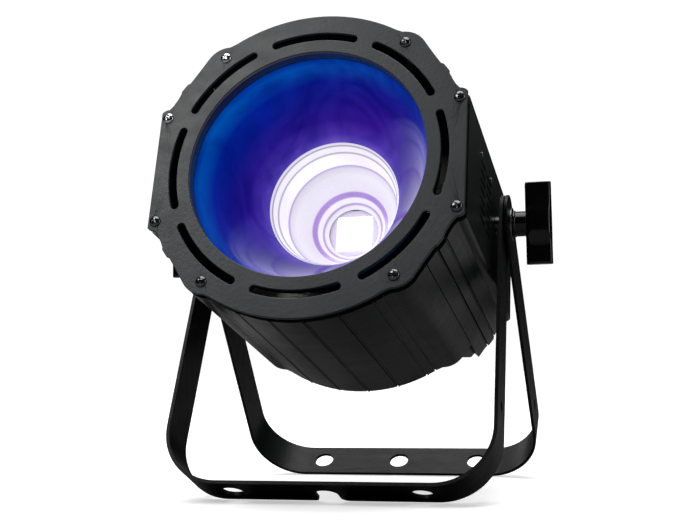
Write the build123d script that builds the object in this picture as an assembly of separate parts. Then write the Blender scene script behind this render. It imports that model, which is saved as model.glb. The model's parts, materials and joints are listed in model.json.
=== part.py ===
"""Par can light: a COB wash head clamped in two folding flat-bar yokes.

Millimetres, +Z up. The floor is z = 0 and the beam leaves towards -Y, tilted up.
The head's parts are drawn in the head's own frame: x to the right, y up and
z forward along the beam, with its origin on the tilt axis, and then placed.
"""

import math
import os

from build123d import *

# ---- Driving dimensions -------------------------------------------------

# Stance: the beam's tilt above level and the yokes' leans away from upright, in degrees
HEAD_TILT = 16.06
FRONT_LEAN = 24.5
REAR_LEAN = 36.7

# Clearance between parts of different bodies, and of a shaft in its hole
GAP = 0.3
RUNNING_FIT = 0.08

# Head outline, seen along the beam
FLAT_X = 107.5
FLAT_HALF_HEIGHT = 43.3
RIM_R = 110.2
CORNER_SCREW = (102.3, 38.8)
LOBE_SCREW = (64.2, 83.2)

# Stations along the beam
BEZEL_FRONT = 128.4
BEZEL_BACK = 125.9
SHELL_FRONT = 120.0
SHELL_REAR = -48.0
CHEEK_REAR = -83.0
PANEL_FRONT = -81.0

# Cavity inside the shells and cheeks
CAVITY_R = 107.2
CAVITY_X = 104.9
REAR_BOX_Y = 74.0

# Small screws above the cheek vents
CHEEK_SCREW_Y = 25.2
CHEEK_SCREW_Z = (69.5, 27.5)
VENT_TOP_Y = 21.2
VENT_PITCH = 6.8
VENT_ROWS = 7
VENT_STARTS = (51.0, 25.0)
VENT_LENGTH = 19.0
VENT_HALF = 1.2

# Bezel
OPENING_R = 81.9
SLOT_MID_R = 93.8
SLOT_WIDTH = 5.4
SLOT_HALF_ANGLE = 17.2
SLOT_COUNT = 8

# Reflectors
BOWL_RIM_R = 82.0
BOWL_RIM_Z = 118.0
BOWL_NECK_R = 47.8
BOWL_NECK_Z = 58.5
REFLECTOR_WALL = 1.2

# Yokes: flat bar, each with a lean, a reach down from the tilt axis and a width
BAR_WIDTH = 32.8
BAR_THICK = 2.5
FRONT_REACH = 205.5
FRONT_TOP_X = 114.8
FRONT_FOOT_X = 117.7
REAR_TOP_X = 118.7
REAR_FOOT_X = 122.0
BEND_R = 42.0
FOOT_HOLE_X = 66.7
FOOT_HOLE_R = 7.75
SIDE_HOLE_R = 4.2
SIDE_HOLE_UP = 62.0
NOTCH_R = 8.0
NOTCH_DEPTH = 21.0

# The tilt axis runs along X. Its height makes the front yoke's rear edge meet the floor, the
# rear yoke reaches down to the same floor, and its place in Y centres the whole light.
PIVOT_Z = (FRONT_REACH * math.cos(math.radians(FRONT_LEAN))
           + BAR_WIDTH / 2 * math.sin(math.radians(FRONT_LEAN)))
REAR_REACH = ((PIVOT_Z - BAR_WIDTH / 2 * math.sin(math.radians(REAR_LEAN)))
              / math.cos(math.radians(REAR_LEAN)))
PIVOT_Y = 2.06

# The tilt axis passes this far above the beam's axis, and the legs end this far above it
AXIS_RISE = 1.93
LEG_END_RISE = 6.0

# Lines along the housing, by their angle from the head's vertical
RIB_TURNS = (-21.5, -9.2, 3.0, 15.3, 27.6)
LOBE_EDGE_TURNS = (30.9, 43.3)
CHEEK_LINE_TURNS = (54.4, 59.2)

# Pivot hardware
STUD_R = 4.0
WASHER_R = 12.0
WASHER_THICK = 1.7
HUB_R = 9.8
HANDLE_IN_X = 129.5
HANDLE_OUT_X = 148.5
HANDLE_LENGTH = 60.0
HANDLE_DEPTH = 14.0

# Screws through the LED holder, in the head's cross-section
HOLDER_SCREW = (20.9, 20.9)

# Rear panel layout: x to the right as seen from the front
DISPLAY_X = -30.0
TOP_ROW_Y = 57.0
BOTTOM_ROW_Y = -55.0
BUTTON_X = (12.0, 28.0, 44.0, 60.0)
BUTTON_NAMES = ("menu", "down", "up", "enter")
BUTTON_R = 4.0
BUTTON_TRAVEL = 1.0
FAN_SIZE = 80.0
FAN_SCREW = FAN_SIZE / 2 - 4.2
DATA_IN_X = -56.0
DATA_OUT_X = -25.0
FUSE_X = 3.0
POWER_X = 44.0
DATA_HOLES = ((-9.5, 12.0), (9.5, -12.0))
POWER_HOLES = ((-20.0, 0.0), (20.0, 0.0))

HEAD = Plane(
    origin=(
        0,
        PIVOT_Y - AXIS_RISE * math.sin(math.radians(HEAD_TILT)),
        PIVOT_Z - AXIS_RISE * math.cos(math.radians(HEAD_TILT)),
    ),
    x_dir=(1, 0, 0),
    z_dir=(0, -math.cos(math.radians(HEAD_TILT)), math.sin(math.radians(HEAD_TILT))),
)
PIVOT = Location((0, PIVOT_Y, PIVOT_Z))


# ---- Small helpers ------------------------------------------------------

def polar(radius, degrees):
    """Point at a radius and an angle in the head's cross-section."""
    return (radius * math.cos(math.radians(degrees)), radius * math.sin(math.radians(degrees)))


def prism(face, z_low, z_high):
    """Extrude a face, drawn in XY, from z_low to z_high."""
    return Pos(0, 0, z_low) * extrude(face, amount=z_high - z_low)


def rod(radius, z_low, z_high, x=0.0, y=0.0):
    """Cylinder along z between two stations."""
    height = z_high - z_low
    return Pos(x, y, (z_low + z_high) / 2) * Cylinder(radius, height)


def rod_x(radius, x_low, x_high):
    """Cylinder along x, on the tilt axis."""
    middle = (x_low + x_high) / 2
    return Pos(middle, 0, 0) * Rot(0, 90, 0) * Cylinder(radius, x_high - x_low)


def block(x_range, y_range, z_range):
    """Box between two corners."""
    size = [high - low for low, high in (x_range, y_range, z_range)]
    centre = [(low + high) / 2 for low, high in (x_range, y_range, z_range)]
    return Pos(*centre) * Box(*size)


def tube(outer_r, inner_r, z_low, z_high, x=0.0, y=0.0):
    """Round ring along z between two stations."""
    return rod(outer_r, z_low, z_high, x, y) - rod(inner_r, z_low - 1, z_high + 1, x, y)


def spin(points):
    """Solid of revolution about the beam from a closed (radius, z) outline."""
    face = make_face(Polyline(*[(r, 0, z) for r, z in points], close=True))
    return revolve(face, Axis.Z, 360)


def both_sides(shape):
    """The shape and its mirror image across the head's middle plane."""
    return [shape, mirror(shape, about=Plane.YZ)]


def four_ways(point):
    """The four mirror images of a point in the head's cross-section."""
    x, y = point
    return [(x, y), (-x, y), (-x, -y), (x, -y)]


def screw_points():
    """Centres of the eight bezel screws."""
    return four_ways(CORNER_SCREW) + four_ways(LOBE_SCREW)


def pan_screw(head_r, head_height, shank_r, length):
    """Pan-head screw with a cross recess; its head sits on z = 0 and points to +z."""
    dome = Pos(0, 0, head_height / 2) * Cylinder(head_r, head_height)
    dome = fillet(dome.edges().sort_by(Axis.Z)[-1], head_height * 0.7)
    recess = Pos(0, 0, head_height) * Box(head_r * 1.15, head_r * 0.28, head_height * 1.1)
    recess += Pos(0, 0, head_height) * Box(head_r * 0.28, head_r * 1.15, head_height * 1.1)
    return dome - recess + rod(shank_r, -length, 0.2)


# ---- Head outline -------------------------------------------------------

def head_outline():
    """Face of the head's outer section: flats, screw lobes, ribs and round top and bottom."""
    corner_x, corner_y = CORNER_SCREW
    corner_r = 6.9
    flat_end = (FLAT_X, FLAT_HALF_HEIGHT)
    corner_mid = (corner_x + corner_r * math.cos(math.radians(63)),
                  corner_y + corner_r * math.sin(math.radians(63)))
    corner_end = (corner_x, corner_y + corner_r)
    ribs = [corner_end, (99.6, 48.6), (96.5, 53.9), (94.8, 58.0), (94.9, 59.3), (91.0, 64.6),
            (89.0, 65.5), (85.8, 70.2), (82.6, 75.0), (77.0, 83.8)]
    lobe_end = (62.0, 92.0)
    rim_start = polar(RIM_R, 58.5)
    quarter = Curve() + [
        Line((FLAT_X, 0), flat_end),
        ThreePointArc(flat_end, corner_mid, corner_end),
        Polyline(*ribs),
        ThreePointArc(ribs[-1], (71.5, 89.3), lobe_end),
        Line(lobe_end, rim_start),
        ThreePointArc(rim_start, polar(RIM_R, 74), (0, RIM_R)),
    ]
    half = quarter + mirror(quarter, about=Plane.YZ)
    whole = half + mirror(half, about=Plane.XZ)
    return make_face(whole.edges())


def cavity(z_low, z_high, shrink=0.0):
    """Round cavity with flat sides that lies inside the shells and cheeks."""
    round_part = rod(CAVITY_R - shrink, z_low, z_high)
    side = CAVITY_X - shrink
    return round_part & block((-side, side), (-120, 120), (z_low, z_high))


def sector(start_deg, end_deg, z_low, z_high):
    """Wedge of the cross-section between two angles, to split the housing."""
    reach = 260.0
    corners = [(0, 0), polar(reach, start_deg), polar(reach, (start_deg + end_deg) / 2),
               polar(reach, end_deg)]
    return prism(make_face(Polyline(*corners, close=True)), z_low, z_high)


# ---- Front of the head --------------------------------------------------

def front_bezel():
    """Flat plate with the round opening, eight curved slots and eight screw holes."""
    plate = prism(head_outline(), BEZEL_BACK, BEZEL_FRONT)
    plate -= rod(OPENING_R, BEZEL_BACK - 1, BEZEL_FRONT + 1)
    for index in range(SLOT_COUNT):
        plate -= Rot(0, 0, index * 360 / SLOT_COUNT) * curved_slot()
    for x, y in screw_points():
        plate -= rod(2.15, BEZEL_BACK - 1, BEZEL_FRONT + 1, x, y)
    return plate


def curved_slot():
    """Cutter for one slot: part of a ring with round ends, centred on +x."""
    outer_r = SLOT_MID_R + SLOT_WIDTH / 2
    inner_r = SLOT_MID_R - SLOT_WIDTH / 2
    low = BEZEL_BACK - 1
    high = BEZEL_FRONT + 1
    ring = tube(outer_r, inner_r, low, high)
    ring = ring & sector(-SLOT_HALF_ANGLE, SLOT_HALF_ANGLE, low, high)
    for end in (-SLOT_HALF_ANGLE, SLOT_HALF_ANGLE):
        x, y = polar(SLOT_MID_R, end)
        ring += rod(SLOT_WIDTH / 2, low, high, x, y)
    return ring


def bezel_screws():
    """Eight M4 pan-head screws on the bezel."""
    screw = pan_screw(4.0, 2.4, 2.0, 16.0)
    return [Pos(x, y, BEZEL_FRONT) * Rot(0, 0, 25 * index) * screw
            for index, (x, y) in enumerate(screw_points())]


def front_frame():
    """Set-back frame between the bezel and the shells, which leaves a dark shadow gap."""
    low = SHELL_FRONT
    ring = cavity(low, BEZEL_BACK) - rod(99.0, low - 1, BEZEL_BACK + 1)
    for x, y in four_ways(LOBE_SCREW):
        ring += rod(5.2, low, BEZEL_BACK, x, y)
    for x, y in four_ways(CORNER_SCREW):
        ring += rod(5.0, low, BEZEL_BACK, x, y)
    for x, y in screw_points():
        ring -= rod(2.15, low - 1, BEZEL_BACK + 1, x, y)
    return ring


def rim_seal():
    """Soft black ring between the bezel and the reflector's rim."""
    return tube(88.0, 82.3, BOWL_RIM_Z + 0.1, BEZEL_BACK)


def bowl_radius(z):
    """Inner radius of the bowl, a paraboloid through its rim and its neck."""
    rise = (z - BOWL_NECK_Z) / (BOWL_RIM_Z - BOWL_NECK_Z)
    return math.sqrt(BOWL_NECK_R ** 2 + rise * (BOWL_RIM_R ** 2 - BOWL_NECK_R ** 2))


def outer_reflector():
    """Spun bowl with a flat flange under the seal."""
    steps = 6
    stations = [BOWL_NECK_Z + (BOWL_RIM_Z - BOWL_NECK_Z) * i / steps for i in range(steps + 1)]
    inner = Spline(*[(bowl_radius(z), 0, z) for z in stations])
    shift_r = REFLECTOR_WALL * 0.87
    shift_z = -REFLECTOR_WALL * 0.5
    outer = Spline(*[(bowl_radius(z) + shift_r, 0, z + shift_z) for z in stations])
    flange_r = 90.0
    profile = make_face([
        inner,
        Polyline(inner @ 1, (flange_r, 0, BOWL_RIM_Z), (flange_r, 0, BOWL_RIM_Z + shift_z), outer @ 1),
        outer,
        Line(outer @ 0, inner @ 0),
    ])
    return revolve(profile, Axis.Z, 360)


def inner_reflector():
    """Stepped bright tube from the bowl's neck down to the LED."""
    inner = [(47.6, 57.7), (47.0, 56.2), (46.2, 56.0), (44.8, 49.5), (43.9, 49.2), (41.6, 33.6),
             (40.2, 32.8), (29.4, 12.6), (26.0, 9.8), (23.4, 5.0), (21.8, 4.4), (19.9, 2.2), (19.2, 1.8)]
    outer = [(19.2, 1.0), (20.6, 1.0), (24.4, 3.8), (27.0, 8.2), (30.6, 11.2), (41.6, 31.6),
             (43.2, 33.0), (45.4, 48.0), (47.6, 54.6), (49.0, 56.4), (54.0, 56.4), (54.0, 57.7)]
    return spin(inner + outer)


# ---- Light engine -------------------------------------------------------

def cob_emitter():
    """Square phosphor pad."""
    return block((-13.3, 13.3), (-13.3, 13.3), (0.0, 0.9))


def cob_substrate():
    """Aluminium board that carries the phosphor pad."""
    board = block((-19.0, 19.0), (-19.0, 19.0), (-2.0, 0.0))
    for x, y in four_ways((16.0, 16.0)):
        board -= rod(1.3, -3, 1, x, y)
    return board


def cob_holder():
    """Plastic frame that presses the LED onto the heat sink."""
    frame = block((-24.0, 24.0), (-24.0, 24.0), (0.0, 4.0))
    frame = fillet(frame.edges().filter_by(Axis.Z), 5.0)
    frame -= rod(25.0, -1, 5)
    for x, y in four_ways(HOLDER_SCREW):
        frame -= rod(1.7, -1, 5, x, y)
    return frame


def holder_screws():
    """Four M3 screws through the holder into the heat sink."""
    screw = pan_screw(2.4, 1.8, 1.4, 9.0)
    return [Pos(x, y, 4.0) * screw for x, y in four_ways(HOLDER_SCREW)]


def heat_sink():
    """Base plate with straight vertical fins, cut for the holder's screws."""
    base = block((-60.0, 60.0), (-55.0, 55.0), (-12.0, -2.0))
    fin_count = 15
    fin_pitch = 116.0 / (fin_count - 1)
    sink = base
    for index in range(fin_count):
        x = -58.0 + index * fin_pitch
        sink += block((x - 1.0, x + 1.0), (-55.0, 55.0), (-47.0, -11.5))
    for x, y in four_ways(HOLDER_SCREW):
        sink -= rod(1.5, -5.2, -1, x, y)
    return sink


def bulkhead():
    """Plate across the housing that carries the heat sink."""
    plate = cavity(-2.0, 0.0, shrink=GAP)
    plate -= block((-19.3, 19.3), (-19.3, 19.3), (-3, 1))
    for x, y in four_ways(HOLDER_SCREW):
        plate -= rod(1.7, -3, 1, x, y)
    stud_room = (AXIS_RISE - 9, AXIS_RISE + 9)
    plate -= block((-120, -96), stud_room, (-3, 1)) + block((96, 120), stud_room, (-3, 1))
    for x, y in screw_points():
        plate -= rod(6.2, -3, 1, x, y)
    for x, y in four_ways((76.0, 20.0)):
        plate -= block((x - 6, x + 6), (y - 14, y + 14), (-3, 1))
    plate -= block((-30, 30), (66, 90), (-3, 1))
    return plate


# ---- Housing ------------------------------------------------------------

def housing_stock(z_low, z_high):
    """Outer section of the housing, hollow, between two stations."""
    body = prism(head_outline(), z_low, z_high)
    return body - cavity(z_low - 1, z_high + 1)


def turned_bar(turn, width, r_low, r_high, z_low, z_high):
    """Long bar of a given width across a radius that leans from the vertical towards +X."""
    bar = block((-width / 2, width / 2), (r_low, r_high), (z_low, z_high))
    return Rot(0, 0, -turn) * bar


def shell_ribs(z_low, z_high):
    """Fine ribs, and the grooves beside them and along the screw lobes: two lists of solids."""
    ribs = []
    grooves = []
    for turn in RIB_TURNS:
        ribs.append(turned_bar(turn, 0.9, RIM_R - 1.5, RIM_R + 0.45, z_low, z_high))
        grooves.append(turned_bar(turn - 0.55, 1.0, RIM_R - 0.9, RIM_R + 2, z_low, z_high))
    for turn in LOBE_EDGE_TURNS:
        groove = turned_bar(turn, 1.0, RIM_R - 1.1, RIM_R + 3, z_low, z_high)
        grooves += both_sides(groove)
    return ribs, grooves


def top_shell():
    """Ribbed upper shell with its two screw channels."""
    low = SHELL_REAR
    high = SHELL_FRONT
    shell = housing_stock(low, high) & sector(41.9, 138.1, low, high)
    ribs, grooves = shell_ribs(low, high)
    for groove in grooves:
        shell -= groove
    for rib in ribs:
        shell += rib
    x, y = LOBE_SCREW
    channel = rod(4.8, low, high, x, y) + block((x - 1.5, x + 1.5), (y, y + 4.5), (low, high))
    for piece in both_sides(channel):
        shell += piece
    for piece in both_sides(rod(2.05, low - 1, high + 1, x, y)):
        shell -= piece
    return shell


def bottom_shell():
    """The upper shell's mirror image."""
    return mirror(top_shell(), about=Plane.XZ)


def right_cheek():
    """Side wall that runs back past the shells, with vents, screw channels and the pivot hole."""
    low = CHEEK_REAR
    high = SHELL_FRONT
    cheek = housing_stock(low, high) & sector(-41.6, 41.6, low, high)
    for y_sign in (1, -1):
        x = CORNER_SCREW[0]
        y = CORNER_SCREW[1] * y_sign
        channel = rod(4.6, SHELL_REAR, high, x, y)
        cheek += channel
        cheek -= rod(2.05, SHELL_REAR - 1, high + 1, x, y)
    for turn in CHEEK_LINE_TURNS:
        for lean in (turn, 180.0 - turn):
            cheek -= turned_bar(lean, 0.9, RIM_R - 0.7, RIM_R + 4, low, high)
    cheek -= Pos(0, AXIS_RISE, 0) * rod_x(STUD_R + 0.1, 100, 112)
    for z in CHEEK_SCREW_Z:
        cheek -= Pos(0, CHEEK_SCREW_Y, z) * rod_x(1.6, 100, 112)
    for z_start in VENT_STARTS:
        for row in range(VENT_ROWS):
            y = VENT_TOP_Y - row * VENT_PITCH
            cheek -= block((100, 112), (y - VENT_HALF, y + VENT_HALF), (z_start, z_start + VENT_LENGTH))
    return cheek


def left_cheek():
    """The right cheek's mirror image."""
    return mirror(right_cheek(), about=Plane.YZ)


def cheek_screws():
    """Two small screws above the vents on each cheek."""
    screw = pan_screw(2.1, 1.3, 1.5, 5.5)
    placed = []
    for z in CHEEK_SCREW_Z:
        placed += both_sides(Pos(FLAT_X, CHEEK_SCREW_Y, z) * Rot(0, 90, 0) * screw)
    return placed


def rear_cover():
    """Tray that closes the back between the cheeks, with a flange inside the shells."""
    flange = cavity(SHELL_REAR, SHELL_REAR + 2.0, shrink=GAP)
    tray = cavity(PANEL_FRONT, SHELL_REAR + 2.0, shrink=GAP)
    tray = tray & block((-120, 120), (-REAR_BOX_Y, REAR_BOX_Y), (PANEL_FRONT, SHELL_REAR + 2.0))
    inside = cavity(PANEL_FRONT - 1, SHELL_REAR + 3.0, shrink=GAP + 2.0)
    edge_y = REAR_BOX_Y - 2.0
    inside = inside & block((-120, 120), (-edge_y, edge_y), (PANEL_FRONT - 1, SHELL_REAR + 3.0))
    cover = flange + tray - inside
    for x, y in screw_points():
        cover -= rod(5.4, SHELL_REAR - 1, SHELL_REAR + 3, x, y)
    for x, y in panel_screw_points():
        boss = rod(4.0, PANEL_FRONT, PANEL_FRONT + 12.0, x, y)
        cover += boss & block((-120, 120), (-edge_y - 1, edge_y + 1), (PANEL_FRONT, 0))
        cover -= rod(1.45, PANEL_FRONT - 1, PANEL_FRONT + 10.0, x, y)
    return cover


# ---- Rear panel and what is on it ---------------------------------------

def panel_screw_points():
    """Centres of the six rear-panel screws."""
    points = []
    for x, y in ((99.5, 24.0), (66.0, 68.8), (80.5, -61.5)):
        points += [(x, y), (-x, y)]
    return points


def rear_panel():
    """Plate with the fan grille and the cut-outs for the controls and sockets."""
    low = CHEEK_REAR
    high = PANEL_FRONT
    panel = cavity(low, high, shrink=GAP)
    panel = panel & block((-120, 120), (-REAR_BOX_Y, REAR_BOX_Y), (low, high))
    for x, y in panel_screw_points():
        panel -= rod(1.6, low - 1, high + 1, x, y)
    panel -= block((DISPLAY_X - 22, DISPLAY_X + 22), (TOP_ROW_Y - 8, TOP_ROW_Y + 8), (low - 1, high + 1))
    for x in BUTTON_X:
        panel -= rod(BUTTON_R + GAP, low - 1, high + 1, x, TOP_ROW_Y)
    for x in (DATA_IN_X, DATA_OUT_X):
        panel -= rod(12.0, low - 1, high + 1, x, BOTTOM_ROW_Y)
    panel -= block((DATA_OUT_X - 3.8, DATA_OUT_X + 3.8), (BOTTOM_ROW_Y + 7.9, BOTTOM_ROW_Y + 13.2),
                   (low - 1, high + 1))
    for x, y in socket_screw_points():
        panel -= rod(1.6, low - 1, high + 1, x, y)
    panel -= rod(6.2, low - 1, high + 1, FUSE_X, BOTTOM_ROW_Y)
    panel -= block((POWER_X - 14, POWER_X + 14), (BOTTOM_ROW_Y - 10, BOTTOM_ROW_Y + 10), (low - 1, high + 1))
    for x, y in four_ways((FAN_SCREW, FAN_SCREW)):
        panel -= rod(2.1, low - 1, high + 1, x, y)
    for piece in grille_cutters(low - 1, high + 1):
        panel -= piece
    return panel


def grille_cutters(low, high):
    """Ring slots in front of the fan, left whole along four spokes."""
    spokes = Rot(0, 0, 45) * (block((-2, 2), (-45, 45), (low, high)) + block((-45, 45), (-2, 2), (low, high)))
    return [tube(radius + 2.2, radius - 2.2, low, high) - spokes
            for radius in (12.5, 19.5, 26.5, 33.5)]


def rear_panel_screws():
    """Six M3 screws that hold the rear panel."""
    screw = Rot(180, 0, 0) * pan_screw(2.8, 1.6, 1.4, 9.0)
    return [Pos(x, y, CHEEK_REAR) * screw for x, y in panel_screw_points()]


def fan_frame():
    """Square fan housing with its motor hub on four struts."""
    low = PANEL_FRONT
    high = PANEL_FRONT + 25.0
    half = FAN_SIZE / 2
    frame = block((-half, half), (-half, half), (low, high))
    frame = fillet(frame.edges().filter_by(Axis.Z), 4.0)
    frame -= rod(half - 2.0, low - 1, high + 1)
    middle = block((-half - 1, half + 1), (-half - 1, half + 1), (low + 4, high - 4))
    frame -= middle - rod(half - 0.4, low + 3, high - 3)
    strut = block((-half + 1.0, half - 1.0), (-1.5, 1.5), (high - 2.5, high))
    frame += Rot(0, 0, 45) * strut
    frame += Rot(0, 0, -45) * strut
    frame += rod(17.0, high - 2.5, high)
    frame += rod(3.0, high - 14.0, high - 1)
    for x, y in four_ways((FAN_SCREW, FAN_SCREW)):
        frame -= rod(2.1, low - 1, high + 1, x, y)
    return frame


def fan_rotor():
    """Hub with seven pitched blades that turns about the beam axis."""
    low = PANEL_FRONT + 3.0
    high = PANEL_FRONT + 21.5
    rotor = rod(16.0, low, high)
    blade_count = 7
    blade = Pos(25.5, 0, (low + high) / 2) * Rot(48, 0, 0) * Box(21.0, 1.6, 19.0)
    sweep = tube(35.5, 14.0, low + 0.5, high - 0.5)
    for index in range(blade_count):
        rotor += (Rot(0, 0, index * 360 / blade_count) * blade) & sweep
    rotor -= rod(3.0 + RUNNING_FIT, PANEL_FRONT + 10.5, high + 1)
    return rotor


def fan_screws():
    """Four screws through the panel and the fan's corners."""
    screw = Rot(180, 0, 0) * pan_screw(3.4, 2.0, 1.95, 27.5)
    return [Pos(x, y, CHEEK_REAR) * screw
            for x, y in four_ways((FAN_SCREW, FAN_SCREW))]


def display_window():
    """Clear window with a flange behind the panel."""
    pane = block((-21.7, 21.7), (-7.7, 7.7), (CHEEK_REAR - 0.3, PANEL_FRONT))
    flange = block((-24.5, 24.5), (-9.5, 9.5), (PANEL_FRONT, PANEL_FRONT + 1.2))
    return Pos(DISPLAY_X, TOP_ROW_Y, 0) * (pane + flange)


def display_module():
    """Display body with four raised digits of seven bars each."""
    low = PANEL_FRONT + 1.5
    body = block((-20.5, 20.5), (-8.0, 8.0), (low + 0.3, PANEL_FRONT + 6.5))
    digits = []
    for digit in range(4):
        digits += seven_bars(-13.8 + digit * 9.2, low)
    for bar in digits:
        body += bar
    return Pos(DISPLAY_X, TOP_ROW_Y, 0) * body


def seven_bars(x, z):
    """The seven bars of one digit, centred on x."""
    flat = (-2.0, 2.0)
    bars = [block((x + flat[0], x + flat[1]), (y - 0.4, y + 0.4), (z, z + 0.4)) for y in (-5.2, 0.0, 5.2)]
    for side in (-2.6, 2.6):
        for y in (-2.6, 2.6):
            bars.append(block((x + side - 0.4, x + side + 0.4), (y - 2.0, y + 2.0), (z, z + 0.4)))
    return bars


def button_cap(x):
    """Round push button with a collar behind the panel."""
    cap = rod(BUTTON_R, CHEEK_REAR - 2.2, PANEL_FRONT + GAP, x, TOP_ROW_Y)
    cap = fillet(cap.edges().sort_by(Axis.Z)[0], 0.8)
    cap += rod(BUTTON_R + 1.0, PANEL_FRONT + GAP, PANEL_FRONT + 1.3, x, TOP_ROW_Y)
    cap += rod(1.6, PANEL_FRONT + 1.0, PANEL_FRONT + 2.6, x, TOP_ROW_Y)
    return cap


def control_board():
    """Circuit board behind the display and buttons, with one switch under each button."""
    low = PANEL_FRONT + 6.5
    board = block((-56.0, 65.0), (TOP_ROW_Y - 11.0, TOP_ROW_Y + 6.5), (low, low + 1.6))
    for x in BUTTON_X:
        top = PANEL_FRONT + 2.6 + BUTTON_TRAVEL + GAP
        board += block((x - 3.0, x + 3.0), (TOP_ROW_Y - 3.0, TOP_ROW_Y + 3.0), (top + 0.6, low))
        board += rod(1.5, top, top + 0.8, x, TOP_ROW_Y)
    board += block((-50.0, -30.0), (TOP_ROW_Y - 6.0, TOP_ROW_Y + 2.0), (low + 1.6, low + 3.6))
    board += block((0.0, 12.0), (TOP_ROW_Y - 8.0, TOP_ROW_Y + 4.0), (low + 1.6, low + 3.0))
    return board


def socket_screw_points():
    """Centres of the screws of the three socket flanges."""
    sockets = ((DATA_IN_X, DATA_HOLES), (DATA_OUT_X, DATA_HOLES), (POWER_X, POWER_HOLES))
    return [(centre_x + x, BOTTOM_ROW_Y + y) for centre_x, holes in sockets for x, y in holes]


def socket_flange(half_x, half_y, hole_points):
    """Rounded flange on the outside of the rear panel with its screw holes."""
    plate = block((-half_x, half_x), (-half_y, half_y), (CHEEK_REAR - 2.0, CHEEK_REAR))
    plate = fillet(plate.edges().filter_by(Axis.Z), 2.5)
    for x, y in hole_points:
        plate -= rod(1.6, CHEEK_REAR - 3, CHEEK_REAR + 1, x, y)
    return plate


def data_in_socket():
    """Male three-pin data socket: open cup with three pins."""
    back = CHEEK_REAR + 20.0
    body = socket_flange(13.0, 15.5, DATA_HOLES) + rod(11.8, CHEEK_REAR - 0.5, back)
    body -= rod(9.0, CHEEK_REAR - 3, back - 4)
    for angle in (30, 150, 270):
        x, y = polar(5.3, angle)
        body += rod(1.15, CHEEK_REAR - 1.0, back - 3, x, y)
    return Pos(DATA_IN_X, BOTTOM_ROW_Y, 0) * body


def data_out_socket():
    """Female three-pin data socket: solid face with three holes and a guide for its latch."""
    back = CHEEK_REAR + 20.0
    body = socket_flange(13.0, 15.5, DATA_HOLES) + rod(11.8, CHEEK_REAR - 0.5, back)
    body -= tube(9.6, 8.3, CHEEK_REAR - 3, back - 6)
    for angle in (30, 150, 270):
        x, y = polar(4.2, angle)
        body -= rod(1.4, CHEEK_REAR - 3, back - 6, x, y)
    body -= block((-3.8, 3.8), (7.9, 13.2), (CHEEK_REAR - 3, CHEEK_REAR + 6.5))
    return Pos(DATA_OUT_X, BOTTOM_ROW_Y, 0) * body


def data_latch():
    """Push tab that releases the plug from the female socket."""
    tab = block((-3.4, 3.4), (8.8, 12.6), (CHEEK_REAR - 3.6, CHEEK_REAR + 4.0))
    return Pos(DATA_OUT_X, BOTTOM_ROW_Y, 0) * tab


def power_inlet():
    """Three-blade mains inlet with an open well."""
    back = CHEEK_REAR + 18.0
    body = socket_flange(24.0, 14.0, POWER_HOLES)
    body += block((-13.7, 13.7), (-9.7, 9.7), (CHEEK_REAR - 0.5, back))
    well = make_face(Polyline((-12.0, -8.0), (12.0, -8.0), (12.0, 4.0), (8.0, 8.0), (-8.0, 8.0),
                              (-12.0, 4.0), close=True))
    body -= prism(well, CHEEK_REAR - 3, back - 3)
    for x, y in ((-7.0, -2.0), (0.0, 2.0), (7.0, -2.0)):
        body += block((x - 1.0, x + 1.0), (y - 2.0, y + 2.0), (CHEEK_REAR + 5.5, back - 2))
    return Pos(POWER_X, BOTTOM_ROW_Y, 0) * body


def fuse_holder():
    """Round fuse carrier with a slotted cap."""
    body = rod(6.0, CHEEK_REAR - 0.2, CHEEK_REAR + 26.0) + rod(7.8, CHEEK_REAR - 6.0, CHEEK_REAR)
    body = body - block((-9, 9), (-0.8, 0.8), (CHEEK_REAR - 7, CHEEK_REAR - 4.8))
    return Pos(FUSE_X, BOTTOM_ROW_Y, 0) * body


def socket_screws():
    """Two M3 screws for each socket flange."""
    screw = Rot(180, 0, 0) * pan_screw(2.5, 1.5, 1.4, 6.0)
    return [Pos(x, y, CHEEK_REAR - 2.0) * screw for x, y in socket_screw_points()]


def safety_eye():
    """Bent-wire eye for a safety cable on top of the rear cover."""
    base = block((-15.0, 15.0), (REAR_BOX_Y, REAR_BOX_Y + 2.5), (-74.0, -60.0))
    wire = 2.5
    path = Polyline((-9.0, REAR_BOX_Y + 1.0, -67.0), (-9.0, REAR_BOX_Y + 10.0, -67.0)) \
        + ThreePointArc((-9.0, REAR_BOX_Y + 10.0, -67.0), (0, REAR_BOX_Y + 19.0, -67.0),
                        (9.0, REAR_BOX_Y + 10.0, -67.0)) \
        + Polyline((9.0, REAR_BOX_Y + 10.0, -67.0), (9.0, REAR_BOX_Y + 1.0, -67.0))
    start = Plane(origin=(-9.0, REAR_BOX_Y + 1.0, -67.0), z_dir=(0, 1, 0))
    return base + sweep(start * Circle(wire), path=path)


# ---- Power electronics --------------------------------------------------

def driver_board():
    """LED driver board under the light engine."""
    return block((-36.0, 36.0), (-97.0, -95.4), (4.0, 84.0))


def driver_parts():
    """Transformer, inductor, capacitors and terminal blocks on the driver board."""
    top = -95.4
    parts = [block((-14.0, 14.0), (top, top + 22.0), (28.0, 52.0)),
             block((16.0, 34.0), (top, top + 14.0), (10.0, 26.0)),
             block((-34.0, -20.0), (top, top + 10.0), (66.0, 80.0)),
             block((14.0, 30.0), (top, top + 10.0), (66.0, 80.0))]
    for x, z in ((-26.0, 16.0), (-26.0, 32.0), (25.0, 44.0)):
        parts.append(Pos(x, top + 9.0, z) * Rot(90, 0, 0) * Cylinder(6.0, 18.0))
    return parts


def driver_bracket():
    """Folded bracket that hangs the driver board from the bulkhead."""
    floor = block((-40.0, 40.0), (-99.4, -97.0), (0.0, 86.0)) & cavity(0.0, 86.0, shrink=GAP)
    wall = block((-40.0, 40.0), (-99.4, -84.0), (0.0, 1.8)) & cavity(0.0, 1.8, shrink=GAP)
    return floor + wall


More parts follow.
